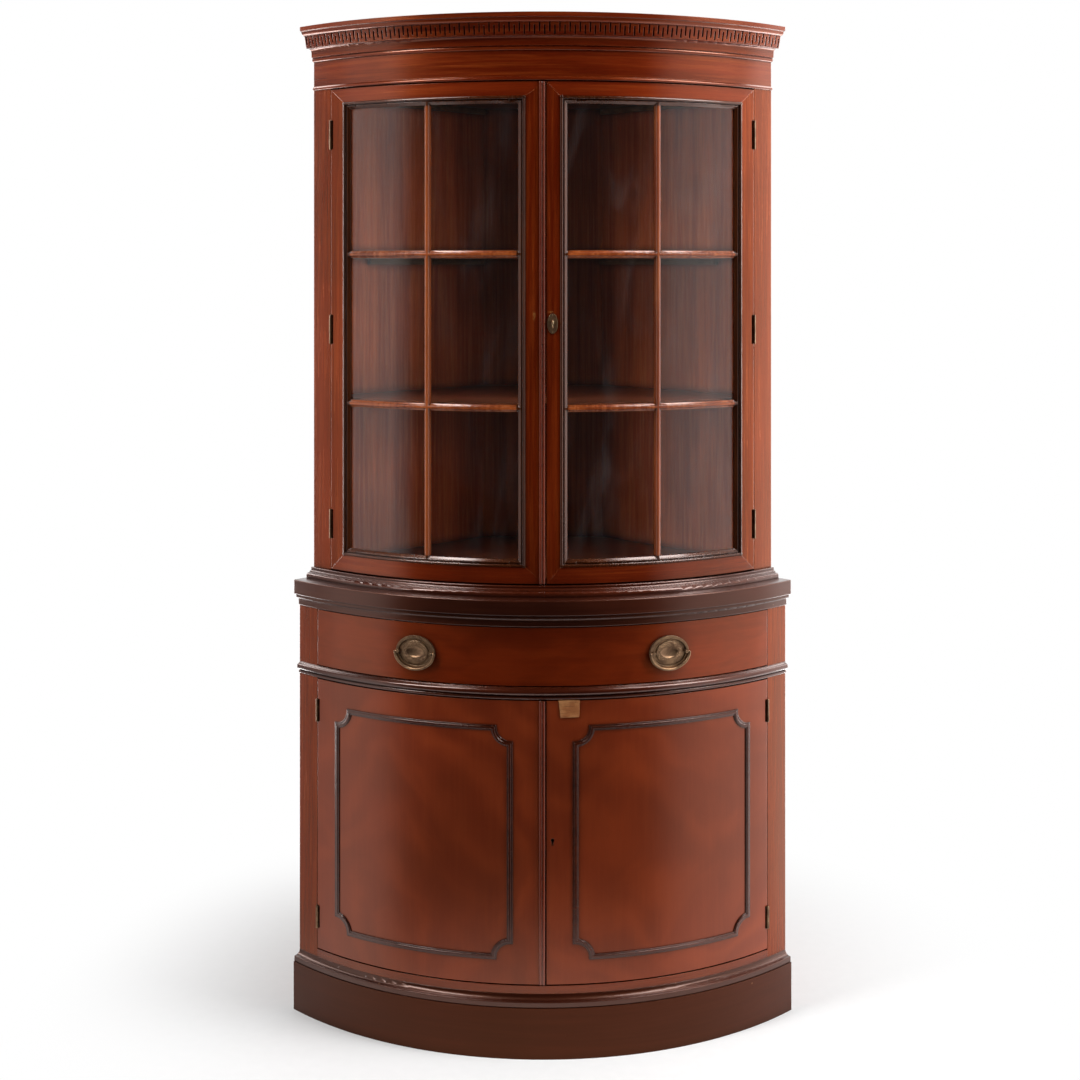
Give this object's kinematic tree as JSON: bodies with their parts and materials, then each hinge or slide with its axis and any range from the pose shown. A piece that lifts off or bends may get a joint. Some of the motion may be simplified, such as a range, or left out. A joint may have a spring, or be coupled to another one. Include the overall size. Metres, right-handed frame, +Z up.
{
  "type": "corner display cabinet",
  "caption": "Bow-fronted corner cabinet with glazed display doors above, and a drawer and panelled doors below, hinged, sliding and lockable.",
  "frame": {"origin": "on the floor, at the centre of the bounding box's base: midway between the front of the plinth and the back of the panel across the corner", "axes": "+Z up, the bowed front faces -Y, +X to the right seen from the front; the room's corner line is vertical at X 0, Y +0.4175 m"},
  "size_m": [0.99, 0.565, 1.9555],
  "materials": {
    "mahogany": "gloss",
    "inside_wood": "satin",
    "glass": "clear",
    "brass": "antiqued",
    "leather": "satin"
  },
  "bodies": {
    "case": {"plinth_front": "mahogany", "plinth_cap": "mahogany", "bottom_board": "inside_wood", "front_rails": "mahogany", "lower_stiles": "mahogany", "lower_backs": "inside_wood", "lower_shelf": "inside_wood", "cleats": "inside_wood", "waist_moulding": "mahogany", "dust_board": "inside_wood", "drawer_guides": "inside_wood", "counter_moulding": "mahogany", "countertop": "mahogany", "upper_base_moulding": "mahogany", "upper_floor": "inside_wood", "upper_stiles": "mahogany", "upper_backs": "inside_wood", "upper_shelves": "inside_wood", "frieze": "mahogany", "cornice": "mahogany", "fret_band": "mahogany", "ceiling": "inside_wood", "case_hinge_leaves": "brass", "hinge_pins": "brass"},
    "door_upper_left": {"upper_left_stiles": "mahogany", "upper_left_rails": "mahogany", "upper_left_glazing": "mahogany", "upper_left_glass": "glass", "upper_left_hinge_leaves": "brass", "upper_meeting_bead": "mahogany", "upper_slide_plate": "brass"},
    "door_upper_right": {"upper_right_stiles": "mahogany", "upper_right_rails": "mahogany", "upper_right_glazing": "mahogany", "upper_right_glass": "glass", "upper_right_hinge_leaves": "brass", "escutcheon": "brass", "upper_lock": "brass"},
    "door_lower_left": {"lower_left_door": "mahogany", "lower_left_door_moulding": "mahogany", "lower_left_hinge_leaves": "brass", "lower_meeting_bead": "mahogany", "lower_slide_plate": "brass"},
    "door_lower_right": {"lower_right_door": "mahogany", "lower_right_door_moulding": "mahogany", "lower_right_hinge_leaves": "brass", "lower_lock": "brass", "pull_tab": "leather"},
    "drawer": {"drawer_front": "mahogany", "drawer_sides": "inside_wood", "drawer_back": "inside_wood", "drawer_bottom": "inside_wood", "pull_plates": "brass"},
    "bail_left": {"bail_left": "brass"},
    "bail_right": {"bail_right": "brass"},
    "key": {"key": "brass"},
    "upper_lock_bolt": {"upper_lock_bolt": "brass"},
    "lower_lock_bolt": {"lower_lock_bolt": "brass"},
    "upper_slide_bolt": {"upper_slide_rod": "brass"},
    "lower_slide_bolt": {"lower_slide_rod": "brass"}
  },
  "joints": [
    {"name": "door_upper_left_hinge", "type": "hinge", "parent": "case", "child": "door_upper_left", "pos_m": [-0.42136, -0.07901, 1.3525], "axis": [0, 0, -1], "range_deg": [0, 110]},
    {"name": "door_upper_right_hinge", "type": "hinge", "parent": "case", "child": "door_upper_right", "pos_m": [0.42136, -0.07901, 1.3525], "axis": [0, 0, 1], "range_deg": [0, 110]},
    {"name": "door_lower_left_hinge", "type": "hinge", "parent": "case", "child": "door_lower_left", "pos_m": [-0.44428, -0.10546, 0.399], "axis": [0, 0, -1], "range_deg": [0, 110]},
    {"name": "door_lower_right_hinge", "type": "hinge", "parent": "case", "child": "door_lower_right", "pos_m": [0.44428, -0.10546, 0.399], "axis": [0, 0, 1], "range_deg": [0, 110]},
    {"name": "drawer_slide", "type": "slide", "parent": "case", "child": "drawer", "axis": [0, -1, 0], "range_m": [0, 0.22]},
    {"name": "bail_left_swing", "type": "hinge", "parent": "drawer", "child": "bail_left", "pos_m": [-0.24269, -0.23161, 0.7466], "axis": [-0.9367, 0.3502, 0], "range_deg": [0, 100]},
    {"name": "bail_right_swing", "type": "hinge", "parent": "drawer", "child": "bail_right", "pos_m": [0.24269, -0.23161, 0.7466], "axis": [-0.9367, -0.3502, 0], "range_deg": [0, 100]},
    {"name": "key_turn", "type": "hinge", "parent": "door_upper_right", "child": "key", "pos_m": [0.01965, -0.2322, 1.3695], "axis": [0.0302, -0.9995, 0], "range_deg": [0, 180]},
    {"name": "upper_lock_bolt_slide", "type": "slide", "parent": "door_upper_right", "child": "upper_lock_bolt", "axis": [-0.9995, -0.0302, 0], "range_m": [0, 0.008]},
    {"name": "lower_lock_bolt_slide", "type": "slide", "parent": "door_lower_right", "child": "lower_lock_bolt", "axis": [-0.9996, -0.0287, 0], "range_m": [0, 0.008]},
    {"name": "upper_slide_bolt_slide", "type": "slide", "parent": "door_upper_left", "child": "upper_slide_bolt", "axis": [0, 0, -1], "range_m": [0, 0.012]},
    {"name": "lower_slide_bolt_slide", "type": "slide", "parent": "door_lower_left", "child": "lower_slide_bolt", "axis": [0, 0, -1], "range_m": [0, 0.012]}
  ],
  "couplings": [
    {"joint": "key_turn", "follows": "upper_lock_bolt_slide", "rad_per_m": 392.69}
  ]
}
